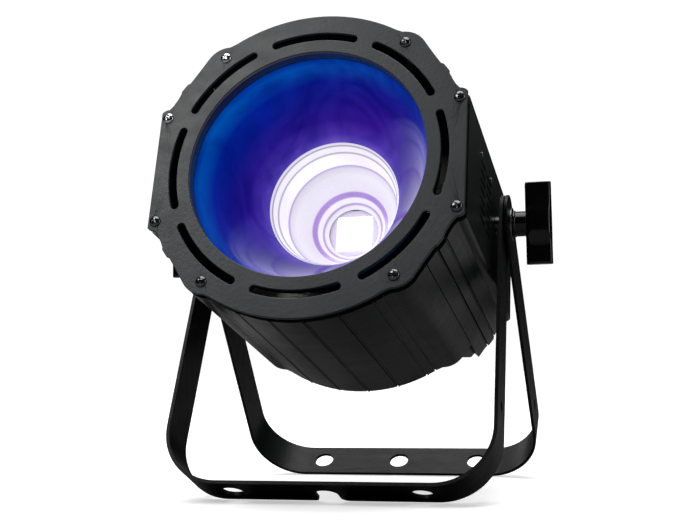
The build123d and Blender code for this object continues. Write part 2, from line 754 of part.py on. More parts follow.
# ---- Pivots and knobs ---------------------------------------------------

def pivot_studs():
    """M8 bolts whose heads sit inside the cheeks and whose shanks carry the yokes."""
    stud = rod_x(STUD_R, CAVITY_X - 1.0, HANDLE_IN_X - 2.0)
    head = Pos(CAVITY_X - 6.5, 0, 0) * Rot(0, 90, 0) * extrude(RegularPolygon(7.2, 6), amount=6.5)
    return both_sides(Pos(0, AXIS_RISE, 0) * (stud + head))


def pivot_spacers():
    """Round spacers between the cheeks and the inner yoke."""
    ring = rod_x(6.2, FLAT_X, FRONT_TOP_X - BAR_THICK - GAP) - rod_x(STUD_R, FLAT_X - 1, FRONT_TOP_X)
    return both_sides(Pos(0, AXIS_RISE, 0) * ring)


def friction_washers():
    """Thin washers on the outer yoke's inner faces."""
    inner = REAR_TOP_X - BAR_THICK
    ring = rod_x(11.0, FRONT_TOP_X + GAP, inner) - rod_x(STUD_R + RUNNING_FIT, FRONT_TOP_X, inner + 1)
    return both_sides(ring)


def knob_washers():
    """Plain washers between the outer yoke and the knobs."""
    outer = REAR_TOP_X + WASHER_THICK
    ring = rod_x(WASHER_R, REAR_TOP_X, outer) - rod_x(STUD_R + RUNNING_FIT, REAR_TOP_X - 1, outer + 1)
    return both_sides(ring)


def right_knob():
    """T-handle: round hub, upright bar with a swollen middle and a stud bore."""
    hub_start = REAR_TOP_X + WASHER_THICK + GAP
    half = HANDLE_LENGTH / 2
    width = HANDLE_OUT_X - HANDLE_IN_X
    middle_x = (HANDLE_IN_X + HANDLE_OUT_X) / 2
    bar = Pos(middle_x, 0, 0) * Box(width, HANDLE_DEPTH - 4.0, HANDLE_LENGTH)
    bar = fillet(bar.edges().filter_by(Axis.Y), 1.2)
    swell = rod_x(HANDLE_DEPTH / 2, HANDLE_IN_X, HANDLE_OUT_X + 0.8)
    swell = swell & block((HANDLE_IN_X, HANDLE_OUT_X + 2), (-half, half), (-half, half))
    knob = bar + swell + rod_x(HUB_R, hub_start, HANDLE_IN_X + 1.0)
    bore = rod_x(STUD_R + RUNNING_FIT, hub_start - 1, HANDLE_IN_X - 1.5)
    return knob - bore


def left_knob():
    """The right knob's mirror image."""
    return mirror(right_knob(), about=Plane.YZ)


# ---- Yokes --------------------------------------------------------------

def bent_bar(top_x, foot_x, reach):
    """Flat bar bent into a U below the tilt axis: round tops, and a small hole low in the right leg."""
    half_width = BAR_WIDTH / 2

    def u_face(inset):
        """U outline filled to a height above the axis, inset from the bar's outer face."""
        top = half_width + 20.0
        high_x = top_x - inset
        low_x = foot_x - inset
        low_z = -reach + inset
        outline = Polyline((high_x, 0, top), (high_x, 0, -half_width), (low_x, 0, low_z),
                           (-low_x, 0, low_z), (-high_x, 0, -half_width), (-high_x, 0, top), close=True)
        face = make_face(outline)
        corners = [vertex for vertex in face.vertices() if vertex.Z < -half_width - 1]
        return fillet(corners, BEND_R - inset)

    solid = extrude(u_face(0.0), amount=half_width, both=True)
    hollow = extrude(u_face(BAR_THICK), amount=half_width + 5, both=True)
    bar = solid - hollow
    round_top = Pos(0, 0, LEG_END_RISE) * rod_x(half_width, -200, 200)
    keep = round_top + block((-200, 200), (-half_width, half_width), (-reach - 5, LEG_END_RISE))
    bar = bar & keep
    bar -= rod_x(STUD_R + RUNNING_FIT, -200, 200)
    bar -= Pos(0, 0, -reach + SIDE_HOLE_UP) * rod_x(SIDE_HOLE_R, 0, 200)
    return bar


def foot_hole(x, reach):
    """Cutter for a round hole in the bar's foot."""
    return rod(FOOT_HOLE_R, -reach - 2, -reach + BAR_THICK + 2, x)


def front_yoke():
    """Inner, shorter yoke: two foot holes, and a notch that closes round a clamp bolt."""
    bar = bent_bar(FRONT_TOP_X, FRONT_FOOT_X, FRONT_REACH)
    for x in (-FOOT_HOLE_X, FOOT_HOLE_X):
        bar -= foot_hole(x, FRONT_REACH)
    bar -= notch_cutter()
    return Rot(-FRONT_LEAN, 0, 0) * bar


def notch_cutter():
    """Round-ended notch from the foot's rear edge, with rounded mouth corners."""
    edge = BAR_WIDTH / 2
    seat_y = edge - NOTCH_DEPTH + NOTCH_R
    low = -FRONT_REACH - 2
    high = -FRONT_REACH + BAR_THICK + 2
    cutter = rod(NOTCH_R, low, high, 0, seat_y)
    cutter += block((-NOTCH_R, NOTCH_R), (seat_y, edge + 1), (low, high))
    for sign, radius in ((-1, 4.0), (1, 6.0)):
        x_inner = sign * NOTCH_R
        x_outer = sign * (NOTCH_R + radius)
        corner = block((min(x_inner, x_outer), max(x_inner, x_outer)), (edge - radius, edge + 1), (low, high))
        cutter += corner - rod(radius, low - 1, high + 1, x_outer, edge - radius)
    return cutter


def rear_yoke():
    """Outer, longer yoke with three foot holes."""
    bar = bent_bar(REAR_TOP_X, REAR_FOOT_X, REAR_REACH)
    for x in (-FOOT_HOLE_X, 0.0, FOOT_HOLE_X):
        bar -= foot_hole(x, REAR_REACH)
    return Rot(REAR_LEAN, 0, 0) * bar


# ---- Assembly -----------------------------------------------------------

def head_nodes():
    """Nodes drawn in the head's frame, by name."""
    nodes = {
        "front_bezel": front_bezel(),
        "bezel_screws": bezel_screws(),
        "front_frame": front_frame(),
        "rim_seal": rim_seal(),
        "outer_reflector": outer_reflector(),
        "inner_reflector": inner_reflector(),
        "cob_emitter": cob_emitter(),
        "cob_substrate": cob_substrate(),
        "cob_holder": cob_holder(),
        "holder_screws": holder_screws(),
        "heat_sink": heat_sink(),
        "bulkhead": bulkhead(),
        "top_shell": top_shell(),
        "bottom_shell": bottom_shell(),
        "right_cheek": right_cheek(),
        "left_cheek": left_cheek(),
        "cheek_screws": cheek_screws(),
        "rear_cover": rear_cover(),
        "rear_panel": rear_panel(),
        "rear_panel_screws": rear_panel_screws(),
        "fan_frame": fan_frame(),
        "fan_rotor": fan_rotor(),
        "fan_screws": fan_screws(),
        "display_window": display_window(),
        "display_module": display_module(),
        "control_board": control_board(),
        "data_in_socket": data_in_socket(),
        "data_out_socket": data_out_socket(),
        "data_latch": data_latch(),
        "power_inlet": power_inlet(),
        "fuse_holder": fuse_holder(),
        "socket_screws": socket_screws(),
        "safety_eye": safety_eye(),
        "driver_board": driver_board(),
        "driver_parts": driver_parts(),
        "driver_bracket": driver_bracket(),
        "pivot_studs": pivot_studs(),
        "pivot_spacers": pivot_spacers(),
    }
    for name, x in zip(BUTTON_NAMES, BUTTON_X):
        nodes[name + "_button"] = button_cap(x)
    return nodes


def pivot_nodes():
    """Nodes drawn round the tilt axis in upright axes, by name."""
    return {
        "front_yoke": front_yoke(),
        "rear_yoke": rear_yoke(),
        "friction_washers": friction_washers(),
        "knob_washers": knob_washers(),
        "right_knob": right_knob(),
        "left_knob": left_knob(),
    }


def solids_of(shape):
    """All solids of a shape or of a list of shapes."""
    shapes = shape if isinstance(shape, list) else [shape]
    return [solid for item in shapes for solid in item.solids()]


def write_nodes():
    """Place every node in the object's frame and write one STEP file each."""
    os.makedirs("parts", exist_ok=True)
    placed = {name: [HEAD.location * solid for solid in solids_of(shape)]
              for name, shape in head_nodes().items()}
    placed.update({name: [PIVOT * solid for solid in solids_of(shape)]
                   for name, shape in pivot_nodes().items()})
    lows = []
    highs = []
    for name, solids in placed.items():
        shape = solids[0] if len(solids) == 1 else Compound(children=solids)
        shape.label = name
        export_step(shape, os.path.join("parts", name + ".step"))
        box = shape.bounding_box()
        lows.append((box.min.X, box.min.Y, box.min.Z))
        highs.append((box.max.X, box.max.Y, box.max.Z))
    print("nodes", len(placed))
    print("low", [round(min(values), 3) for values in zip(*lows)])
    print("high", [round(max(values), 3) for values in zip(*highs)])


write_nodes()
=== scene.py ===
"""Looks for the par can light: finer pieces, materials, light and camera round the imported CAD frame."""
import json
import math

import bmesh
import bpy
from mathutils import Matrix, Vector


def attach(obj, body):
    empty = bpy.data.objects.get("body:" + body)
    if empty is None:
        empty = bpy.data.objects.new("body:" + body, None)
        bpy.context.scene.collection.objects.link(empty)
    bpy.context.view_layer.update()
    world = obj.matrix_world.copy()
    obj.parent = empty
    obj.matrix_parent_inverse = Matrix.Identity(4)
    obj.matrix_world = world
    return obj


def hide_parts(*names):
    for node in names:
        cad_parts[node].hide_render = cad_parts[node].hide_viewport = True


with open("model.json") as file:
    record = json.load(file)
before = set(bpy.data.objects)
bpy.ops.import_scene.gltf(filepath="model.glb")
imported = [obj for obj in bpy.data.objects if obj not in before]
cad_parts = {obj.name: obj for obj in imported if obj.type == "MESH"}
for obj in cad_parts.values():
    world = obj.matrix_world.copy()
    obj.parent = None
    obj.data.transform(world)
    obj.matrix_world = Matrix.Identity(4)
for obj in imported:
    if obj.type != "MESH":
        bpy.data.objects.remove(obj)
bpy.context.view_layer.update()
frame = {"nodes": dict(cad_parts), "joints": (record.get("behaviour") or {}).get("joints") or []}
NODES = frame["nodes"]
JOINTS = {joint["name"]: joint for joint in frame["joints"]}
MM = 0.001

# The head's own frame: x right, y up, z forward along the beam, origin beside the tilt axis
PIVOT = Vector(JOINTS["head_tilt"]["pos_m"])
FORWARD = Vector(JOINTS["fan_spin"]["axis"]).normalized()
RIGHT = Vector((1, 0, 0))
UP = FORWARD.cross(RIGHT)
FAN = Vector(JOINTS["fan_spin"]["pos_m"])
HEAD_ORIGIN = FAN + FORWARD * FORWARD.dot(PIVOT - FAN)
HEAD = Matrix((RIGHT, UP, FORWARD)).transposed().to_4x4()
HEAD.translation = HEAD_ORIGIN
HEAD_MM = HEAD @ Matrix.Scale(MM, 4)
PIVOT_MM = Matrix.Translation(PIVOT) @ Matrix.Scale(MM, 4)


# The bowl between its neck and its rim, in millimetres along the head
BOWL_RIM_R = 82.0
BOWL_RIM_Z = 118.0
BOWL_NECK_R = 47.8
BOWL_NECK_Z = 58.5


# ---- Mesh helpers -------------------------------------------------------

def add_object(name, mesh, body, materials, smooth_angle=35.0):
    """Link a mesh as a piece that rides on a body."""
    piece = bpy.data.objects.new(name, mesh)
    bpy.context.scene.collection.objects.link(piece)
    for material in materials:
        mesh.materials.append(material)
    for polygon in mesh.polygons:
        polygon.use_smooth = True
    mesh.set_sharp_from_angle(angle=math.radians(smooth_angle))
    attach(piece, body)
    return piece


def mesh_from(build, name, matrix):
    """Run a bmesh builder and place its result."""
    bm = bmesh.new()
    build(bm)
    bmesh.ops.remove_doubles(bm, verts=bm.verts, dist=1e-7)
    bmesh.ops.recalc_face_normals(bm, faces=bm.faces)
    mesh = bpy.data.meshes.new(name)
    bm.to_mesh(mesh)
    bm.free()
    mesh.transform(matrix)
    mesh.update()
    return mesh


def lathe(bm, profile, segments=160, inside_points=None):
    """Turn a closed (radius, z) profile about the z axis; faces past the inside points get slot 1."""
    rings = []
    for radius, z in profile:
        ring = []
        for step in range(segments):
            turn = math.tau * step / segments
            ring.append(bm.verts.new((radius * math.cos(turn), radius * math.sin(turn), z)))
        rings.append(ring)
    for index, low in enumerate(rings):
        high = rings[(index + 1) % len(rings)]
        for step in range(segments):
            following = (step + 1) % segments
            face = bm.faces.new((low[step], low[following], high[following], high[step]))
            if inside_points is not None and inside_points <= index < len(rings) - 1:
                face.material_index = 1


def rounded(points, radius, steps=4):
    """Round the corners of a closed profile with short arcs."""
    result = []
    count = len(points)
    for index in range(count):
        here = Vector(points[index])
        before = Vector(points[index - 1])
        after = Vector(points[(index + 1) % count])
        reach = min(radius, (here - before).length * 0.45, (after - here).length * 0.45)
        start = here + (before - here).normalized() * reach
        end = here + (after - here).normalized() * reach
        for step in range(steps + 1):
            t = step / steps
            result.append(tuple(start * (1 - t) ** 2 + here * 2 * t * (1 - t) + end * t ** 2))
    return result


# ---- Material helpers ---------------------------------------------------

class Graph:
    """A small wrapper that builds one Principled material."""

    def __init__(self, name, **constants):
        self.material = bpy.data.materials.new(name)
        self.material.use_nodes = True
        self.tree = self.material.node_tree
        self.bsdf = self.tree.nodes["Principled BSDF"]
        for key, value in constants.items():
            self.bsdf.inputs[key.replace("_", " ")].default_value = value
        self.position = self.node("ShaderNodeTexCoord").outputs["Object"]

    def node(self, kind, **settings):
        made = self.tree.nodes.new(kind)
        for key, value in settings.items():
            setattr(made, key, value)
        return made

    def link(self, source, target):
        self.tree.links.new(source, target)

    def noise(self, scale, detail=3.0, rough=0.5, stretch=(1, 1, 1), distortion=0.0):
        """Noise over the object's own coordinates, in features per metre."""
        mapping = self.node("ShaderNodeMapping")
        mapping.inputs["Scale"].default_value = stretch
        self.link(self.position, mapping.inputs["Vector"])
        texture = self.node("ShaderNodeTexNoise")
        texture.inputs["Scale"].default_value = scale
        texture.inputs["Detail"].default_value = detail
        texture.inputs["Roughness"].default_value = rough
        texture.inputs["Distortion"].default_value = distortion
        self.link(mapping.outputs["Vector"], texture.inputs["Vector"])
        return texture.outputs["Fac"]

    def ramp(self, value, stops, interpolation="LINEAR"):
        """Colour ramp; stops are (position, colour) or (position, grey)."""
        ramp = self.node("ShaderNodeValToRGB")
        ramp.color_ramp.interpolation = interpolation
        elements = ramp.color_ramp.elements
        while len(elements) < len(stops):
            elements.new(0.5)
        for element, (place, colour) in zip(elements, stops):
            element.position = place
            rgb = colour if isinstance(colour, tuple) else (colour, colour, colour)
            element.color = (*rgb, 1.0)
        self.link(value, ramp.inputs["Fac"])
        return ramp.outputs["Color"]

    def mix(self, factor, first, second, blend="MIX"):
        mixer = self.node("ShaderNodeMix", data_type="RGBA", blend_type=blend)
        for socket, value in ((mixer.inputs["Factor"], factor), (mixer.inputs["A"], first),
                              (mixer.inputs["B"], second)):
            self.put(socket, value)
        return mixer.outputs["Result"]

    def math(self, operation, first, second=0.0, clamp=False):
        made = self.node("ShaderNodeMath", operation=operation, use_clamp=clamp)
        self.put(made.inputs[0], first)
        self.put(made.inputs[1], second)
        return made.outputs[0]

    def put(self, socket, value):
        """Link a socket or set a constant."""
        if isinstance(value, bpy.types.NodeSocket):
            self.link(value, socket)
        elif isinstance(value, tuple) and len(value) == 3:
            socket.default_value = (*value, 1.0)
        else:
            socket.default_value = value

    def bump(self, height, strength, distance, normal=None):
        bump = self.node("ShaderNodeBump")
        bump.inputs["Strength"].default_value = strength
        bump.inputs["Distance"].default_value = distance
        self.link(height, bump.inputs["Height"])
        if normal is not None:
            self.link(normal, bump.inputs["Normal"])
        return bump.outputs["Normal"]

    def colour(self, value):
        self.put(self.bsdf.inputs["Base Color"], value)

    def roughness(self, value):
        self.put(self.bsdf.inputs["Roughness"], value)

    def normal(self, value):
        self.link(value, self.bsdf.inputs["Normal"])

    def along_head(self):
        """The three coordinates in the head's frame, in metres: right, up and forward."""
        shift = self.node("ShaderNodeVectorMath", operation="SUBTRACT")
        self.link(self.position, shift.inputs[0])
        shift.inputs[1].default_value = HEAD_ORIGIN
        values = []
        for direction in (RIGHT, UP, FORWARD):
            dot = self.node("ShaderNodeVectorMath", operation="DOT_PRODUCT")
            self.link(shift.outputs[0], dot.inputs[0])
            dot.inputs[1].default_value = direction
            values.append(dot.outputs["Value"])
        return values


def powder_coat(name, dark, light, rough, grain=0.25, specular=0.5):
    """Baked powder paint: fine orange peel, faint mottling and a little settled dust."""
    g = Graph(name, Specular_IOR_Level=specular)
    mottle = g.ramp(g.noise(35, 4), [(0.35, 0.0), (0.7, 1.0)])
    speck = g.ramp(g.noise(2600, 2), [(0.62, 0.0), (0.75, 1.0)])
    base = g.mix(mottle, dark, light)
    g.colour(g.mix(g.math("MULTIPLY", speck, 0.35), base, tuple(min(1.0, c * 2.2) for c in light)))
    scuff = g.noise(60, 5, 0.65, stretch=(1, 3, 1))
    g.roughness(g.ramp(scuff, [(0.3, rough - 0.05), (0.72, rough + 0.07)]))
    peel = g.bump(g.noise(420, 2), grain * 0.6, 0.0006)
    g.normal(g.bump(g.noise(1900, 2), grain, 0.00012, peel))
    return g.material


def plated_metal(name, colour, rough, scale=300, stretch=(1, 1, 12)):
    """Plated or machined steel with fine lay marks and dull patches."""
    g = Graph(name, Metallic=1.0)
    lay = g.noise(scale, 3, 0.6, stretch=stretch)
    patch = g.noise(90, 4)
    g.colour(g.mix(g.ramp(patch, [(0.35, 0.0), (0.75, 1.0)]), colour, tuple(c * 0.72 for c in colour)))
    g.roughness(g.ramp(lay, [(0.3, max(0.03, rough - 0.07)), (0.7, rough + 0.1)]))
    g.normal(g.bump(lay, 0.15, 0.00008))
    return g.material


def moulded_plastic(name, dark, light, rough, grain=0.12, coat=0.0, specular=0.5):
    """Injection-moulded plastic: faint flow marks and a fine spark-eroded texture."""
    g = Graph(name, Coat_Weight=coat, Coat_Roughness=0.08, Specular_IOR_Level=specular)
    flow = g.noise(55, 3, 0.5, stretch=(1, 1, 3), distortion=0.6)
    g.colour(g.mix(g.ramp(flow, [(0.35, 0.0), (0.7, 1.0)]), dark, light))
    g.roughness(g.ramp(g.noise(140, 4), [(0.3, max(0.02, rough - 0.05)), (0.7, rough + 0.08)]))
    g.normal(g.bump(g.noise(1500, 2), grain, 0.0001))
    return g.material


def lit_silicone(name):
    """Dark silicone ring with a painted blue glow standing for the bowl's light caught in it."""
    g = Graph(name, Specular_IOR_Level=0.08)
    g.colour(g.mix(g.noise(180, 4), (0.003, 0.004, 0.010), (0.006, 0.008, 0.018)))
    # Painted blue glow standing for the bowl's light; the ring is no lamp
    blue = g.ramp(g.noise(16, 3), [(0.3, (0.0, 0.010, 0.075)), (0.7, (0.002, 0.045, 0.20))])
    g.link(blue, g.bsdf.inputs["Emission Color"])
    g.bsdf.inputs["Emission Strength"].default_value = 0.35
    g.roughness(g.ramp(g.noise(400, 2), [(0.3, 0.5), (0.7, 0.65)]))
    return g.material


def soft_rubber(name, dark, light):
    """Matt black silicone with a dusty bloom."""
    g = Graph(name, Specular_IOR_Level=0.25, Sheen_Weight=0.15)
    g.colour(g.mix(g.ramp(g.noise(180, 4), [(0.4, 0.0), (0.8, 1.0)]), dark, light))
    g.roughness(g.ramp(g.noise(400, 2), [(0.3, 0.6), (0.7, 0.8)]))
    g.normal(g.bump(g.noise(1400, 3), 0.3, 0.00015))
    return g.material


def bowl_metal():
    """Dark anodised bowl with a painted glow in place of its LED's light: azure rim, navy middle, violet neck,
    bluer on its upper left.
    """
    g = Graph("bowl_anodised_painted_glow", Metallic=1.0)
    right, up, forward = g.along_head()
    depth = g.node("ShaderNodeMapRange")
    g.link(forward, depth.inputs["Value"])
    depth.inputs["From Min"].default_value = BOWL_NECK_Z * MM
    depth.inputs["From Max"].default_value = BOWL_RIM_Z * MM
    level = depth.outputs["Result"]
    # Painted glow: bluer towards the upper left, more violet towards the lower right
    side = g.math("ADD", g.math("MULTIPLY", up, 0.55), g.math("MULTIPLY", right, -0.85))
    side = g.math("ADD", g.math("MULTIPLY", side, 6.5), 0.5, clamp=True)
    cool = g.ramp(level, [(0.0, (0.16, 0.10, 0.62)), (0.10, (0.07, 0.035, 0.42)), (0.26, (0.018, 0.010, 0.26)),
                          (0.50, (0.001, 0.010, 0.24)), (0.72, (0.0, 0.016, 0.28)), (0.84, (0.0, 0.055, 0.36)),
                          (0.93, (0.0, 0.08, 0.42)), (1.0, (0.0, 0.05, 0.34))])
    warm = g.ramp(level, [(0.0, (0.14, 0.07, 0.48)), (0.08, (0.07, 0.02, 0.34)), (0.25, (0.055, 0.006, 0.27)),
                          (0.5, (0.042, 0.004, 0.26)), (0.78, (0.016, 0.010, 0.30)),
                          (1.0, (0.004, 0.03, 0.34))])
    drift = g.noise(17, 3, 0.55, stretch=(1, 1.6, 1), distortion=1.6)
    sweep = g.ramp(drift, [(0.36, (0.50, 0.56, 0.74)), (0.62, (1.12, 1.12, 1.06))])
    glow = g.mix(1.0, g.mix(side, warm, cool), sweep, "MULTIPLY")
    g.colour(g.mix(g.noise(24, 2), (0.006, 0.010, 0.09), (0.003, 0.006, 0.06)))
    # Painted glow standing for the LED's light on the bowl; the bowl is no lamp
    g.link(glow, g.bsdf.inputs["Emission Color"])
    g.bsdf.inputs["Emission Strength"].default_value = 0.85
    g.bsdf.inputs["Specular IOR Level"].default_value = 0.0
    g.roughness(g.ramp(g.noise(70, 4), [(0.3, 0.09), (0.7, 0.14)]))
    spin = g.noise(260, 2, 0.5, stretch=(0.2, 1, 0.2))
    g.normal(g.bump(spin, 0.04, 0.0001))
    return g.material


# The tube's painted glow bands are shares of this length from the LED's face, in millimetres
TUBE_RAMP_LENGTH = 60.0


def tube_metal():
    """Stepped tube with a painted glow in place of the LED's light: pale walls with lilac and violet lines
    painted at its steps.
    """
    g = Graph("tube_painted_glow", Metallic=0.5)
    forward = g.along_head()[2]
    place = g.math("DIVIDE", forward, TUBE_RAMP_LENGTH * MM)
    pale = (0.80, 0.76, 0.86)
    white = (0.90, 0.88, 0.95)
    grey = (0.42, 0.38, 0.50)
    lilac = (0.55, 0.40, 0.80)
    violet = (0.33, 0.16, 0.60)
    stops = [(0.0, lilac), (0.035, white), (0.07, white), (0.080, violet), (0.09, white), (0.155, white),
             (0.170, violet), (0.205, violet), (0.22, pale), (0.45, white), (0.545, pale), (0.558, lilac),
             (0.575, white), (0.80, white), (0.818, grey), (0.832, white), (0.92, white), (0.934, grey),
             (0.945, pale), (1.0, pale)]
    # Painted glow and painted step lines standing for the LED's light; the tube is no lamp
    glow = g.ramp(place, stops)
    g.colour(g.mix(g.noise(120, 3), (0.26, 0.25, 0.30), (0.20, 0.19, 0.26)))
    g.link(glow, g.bsdf.inputs["Emission Color"])
    g.bsdf.inputs["Emission Strength"].default_value = 0.82
    g.roughness(g.ramp(g.noise(200, 3), [(0.3, 0.2), (0.7, 0.32)]))
    return g.material


def reflector_back():
    """Unpolished blackened back of the spun reflectors."""
    g = Graph("reflector_back", Metallic=0.6, Specular_IOR_Level=0.2)
    g.colour(g.mix(g.noise(60, 4), (0.008, 0.008, 0.010), (0.014, 0.014, 0.018)))
    g.roughness(g.ramp(g.noise(160, 3), [(0.3, 0.45), (0.7, 0.6)]))
    g.normal(g.bump(g.noise(320, 2, 0.5, stretch=(0.2, 1, 0.2)), 0.15, 0.0001))
    return g.material


def lit_board():
    """Aluminium LED board with a painted lilac glow standing for its own pad's light."""
    g = Graph("led_board", Metallic=0.4, Roughness=0.4)
    wash = g.ramp(g.noise(260, 3), [(0.3, (0.72, 0.58, 0.90)), (0.7, (0.80, 0.68, 0.93))])
    g.colour(g.mix(g.noise(500, 2), (0.6, 0.6, 0.64), (0.7, 0.7, 0.74)))
    # Painted glow standing for the pad's light on the board
    g.link(wash, g.bsdf.inputs["Emission Color"])
    g.bsdf.inputs["Emission Strength"].default_value = 0.55
    return g.material


def phosphor():
    """Lit LED pad with a fine grid of dies under the phosphor."""
    g = Graph("led_lit", Roughness=0.5)
    grid = g.node("ShaderNodeTexVoronoi", feature="F1", distance="CHEBYCHEV")
    grid.inputs["Scale"].default_value = 420
    grid.inputs["Randomness"].default_value = 0.0
    g.link(g.position, grid.inputs["Vector"])
    dies = g.ramp(grid.outputs["Distance"], [(0.2, (1.0, 1.0, 1.0)), (0.5, (0.93, 0.88, 1.0))])
    g.colour(dies)
    g.link(dies, g.bsdf.inputs["Emission Color"])
    g.bsdf.inputs["Emission Strength"].default_value = 2.5
    return g.material


def circuit_board():
    """Solder-masked board with faint copper tracks."""
    g = Graph("circuit_board", Coat_Weight=0.4)
    tracks = g.node("ShaderNodeTexBrick")
    tracks.inputs["Scale"].default_value = 130
    tracks.inputs["Mortar Size"].default_value = 0.03
    tracks.inputs["Color1"].default_value = (0.01, 0.10, 0.035, 1)
    tracks.inputs["Color2"].default_value = (0.012, 0.13, 0.05, 1)
    tracks.inputs["Mortar"].default_value = (0.03, 0.22, 0.08, 1)
    g.link(g.position, tracks.inputs["Vector"])
    g.colour(g.mix(g.noise(500, 2), tracks.outputs["Color"], (0.01, 0.12, 0.04)))
    g.roughness(g.ramp(g.noise(300, 2), [(0.3, 0.3), (0.7, 0.45)]))
    return g.material


def smoked_window():
    """Dark clear display window."""
    g = Graph("smoked_window", Alpha=0.45)
    g.colour(g.ramp(g.noise(30, 2), [(0.3, (0.012, 0.012, 0.014)), (0.7, (0.02, 0.02, 0.024))]))
    g.roughness(g.ramp(g.noise(90, 3), [(0.3, 0.03), (0.7, 0.08)]))
    return g.material


# Between the display's body and its raised bars, along the head
DISPLAY_FACE = -79.35


def display_red():
    """Display body: black with lit red bars standing proud."""
    g = Graph("display_red")
    forward = g.along_head()[2]
    lit = g.math("LESS_THAN", forward, DISPLAY_FACE * MM)
    shade = g.ramp(g.noise(900, 1), [(0.3, (0.9, 0.05, 0.03)), (0.7, (1.0, 0.09, 0.05))])
    g.colour(g.mix(lit, (0.01, 0.01, 0.011), shade))
    g.link(g.mix(lit, (0.0, 0.0, 0.0), shade), g.bsdf.inputs["Emission Color"])
    g.bsdf.inputs["Emission Strength"].default_value = 1.5
    g.roughness(g.ramp(g.noise(200, 2), [(0.3, 0.25), (0.7, 0.4)]))
    return g.material


def make_materials():
    """Every material, by name."""
    return {
        "bezel": powder_coat("bezel_powder", (0.026, 0.029, 0.031), (0.034, 0.038, 0.041), 0.42, 0.3, 0.4),
        "housing": powder_coat("housing_powder", (0.003, 0.0042, 0.0038), (0.007, 0.009, 0.0085),
                               0.33, 0.3, 0.4),
        "yoke": powder_coat("yoke_powder", (0.002, 0.0025, 0.0025), (0.004, 0.005, 0.005), 0.42, 0.35, 0.16),
        "inner": powder_coat("frame_black", (0.002, 0.002, 0.002), (0.003, 0.003, 0.003), 0.6, 0.3, 0.1),
        "bowl": bowl_metal(),
        "tube": tube_metal(),
        "reflector_back": reflector_back(),
        "lit_board": lit_board(),
        "led": phosphor(),
        "aluminium": plated_metal("bare_aluminium", (0.75, 0.76, 0.78), 0.35),
        "zinc": plated_metal("zinc_plate", (0.62, 0.63, 0.62), 0.32, 180),
        "chrome": plated_metal("nickel_plate", (0.72, 0.73, 0.75), 0.12, 500),
        "black_steel": plated_metal("blackened_steel", (0.13, 0.135, 0.14), 0.2, 600),
        "dull_steel": plated_metal("dull_steel", (0.16, 0.165, 0.17), 0.24, 500),
        "white": moulded_plastic("white_plastic", (0.75, 0.75, 0.74), (0.85, 0.85, 0.84), 0.45),
        "gloss_black": moulded_plastic("knob_gloss", (0.003, 0.003, 0.003), (0.005, 0.005, 0.006),
                                       0.1, 0.05, 0.12, 0.25),
        "matt_black": moulded_plastic("matt_black_plastic", (0.010, 0.010, 0.011), (0.016, 0.016, 0.017),
                                      0.5, 0.3),
        "grey_plastic": moulded_plastic("button_grey", (0.06, 0.06, 0.065), (0.08, 0.08, 0.085), 0.5, 0.25),
        "fibre": moulded_plastic("fibre_washer", (0.03, 0.026, 0.022), (0.05, 0.045, 0.04), 0.75, 0.6),
        "component": moulded_plastic("component_epoxy", (0.012, 0.012, 0.03), (0.03, 0.03, 0.06), 0.35),
        "rubber": soft_rubber("seal_rubber", (0.003, 0.003, 0.004), (0.008, 0.008, 0.010)),
        "seal_ring": lit_silicone("seal_ring"),
        "board": circuit_board(),
        "window": smoked_window(),
        "display": display_red(),
    }


MATERIALS = make_materials()

NODE_MATERIALS = {
    "bezel": ["front_bezel"],
    "housing": ["top_shell", "bottom_shell", "left_cheek", "right_cheek", "rear_cover", "rear_panel"],
    "inner": ["front_frame"],
    "yoke": ["front_yoke", "rear_yoke"],
    "led": ["cob_emitter"],
    "lit_board": ["cob_substrate"],
    "aluminium": ["heat_sink"],
    "zinc": ["bulkhead", "driver_bracket", "holder_screws", "safety_eye", "data_latch"],
    "dull_steel": ["pivot_studs", "pivot_spacers", "knob_washers"],
    "black_steel": ["bezel_screws", "cheek_screws", "rear_panel_screws", "fan_screws", "socket_screws"],
    "white": ["cob_holder"],
    "gloss_black": ["left_knob", "right_knob"],
    "matt_black": ["fan_frame", "fan_rotor", "data_in_socket", "data_out_socket", "power_inlet",
                   "fuse_holder"],
    "grey_plastic": ["menu_button", "down_button", "up_button", "enter_button"],
    "fibre": ["friction_washers"],
    "component": ["driver_parts"],
    "rubber": ["rim_seal"],
    "board": ["driver_board", "control_board"],
    "window": ["display_window"],
    "display": ["display_module"],
    "bowl": ["outer_reflector"],
    "tube": ["inner_reflector"],
}


def dress_nodes():
    """Give every CAD node its material."""
    for key, names in NODE_MATERIALS.items():
        for name in names:
            node = NODES[name]
            node.data.materials.clear()
            node.data.materials.append(MATERIALS[key])


def soften_edges():
    """Small rounded edges on the CAD nodes that show."""
    widths = {"front_bezel": 0.5, "top_shell": 0.35, "bottom_shell": 0.35, "left_cheek": 0.4,
              "right_cheek": 0.4, "rear_cover": 0.4, "rear_panel": 0.3, "front_yoke": 0.5, "rear_yoke": 0.5,
              "knob_washers": 0.25, "pivot_spacers": 0.2, "safety_eye": 0.3,
              "data_in_socket": 0.3, "data_out_socket": 0.3,
              "power_inlet": 0.3, "fuse_holder": 0.4, "data_latch": 0.3, "heat_sink": 0.2}
    for name, width in widths.items():
        node = NODES[name]
        weld = node.modifiers.new("weld", "WELD")
        weld.merge_threshold = 1e-5
        bevel = node.modifiers.new("edge", "BEVEL")
        bevel.width = width * MM
        bevel.segments = 2
        bevel.limit_method = "ANGLE"
        bevel.angle_limit = math.radians(32)
        bevel.harden_normals = True
        bevel.use_clamp_overlap = True
        weighted = node.modifiers.new("normals", "WEIGHTED_NORMAL")
        weighted.keep_sharp = True


# ---- Reflectors ---------------------------------------------------------

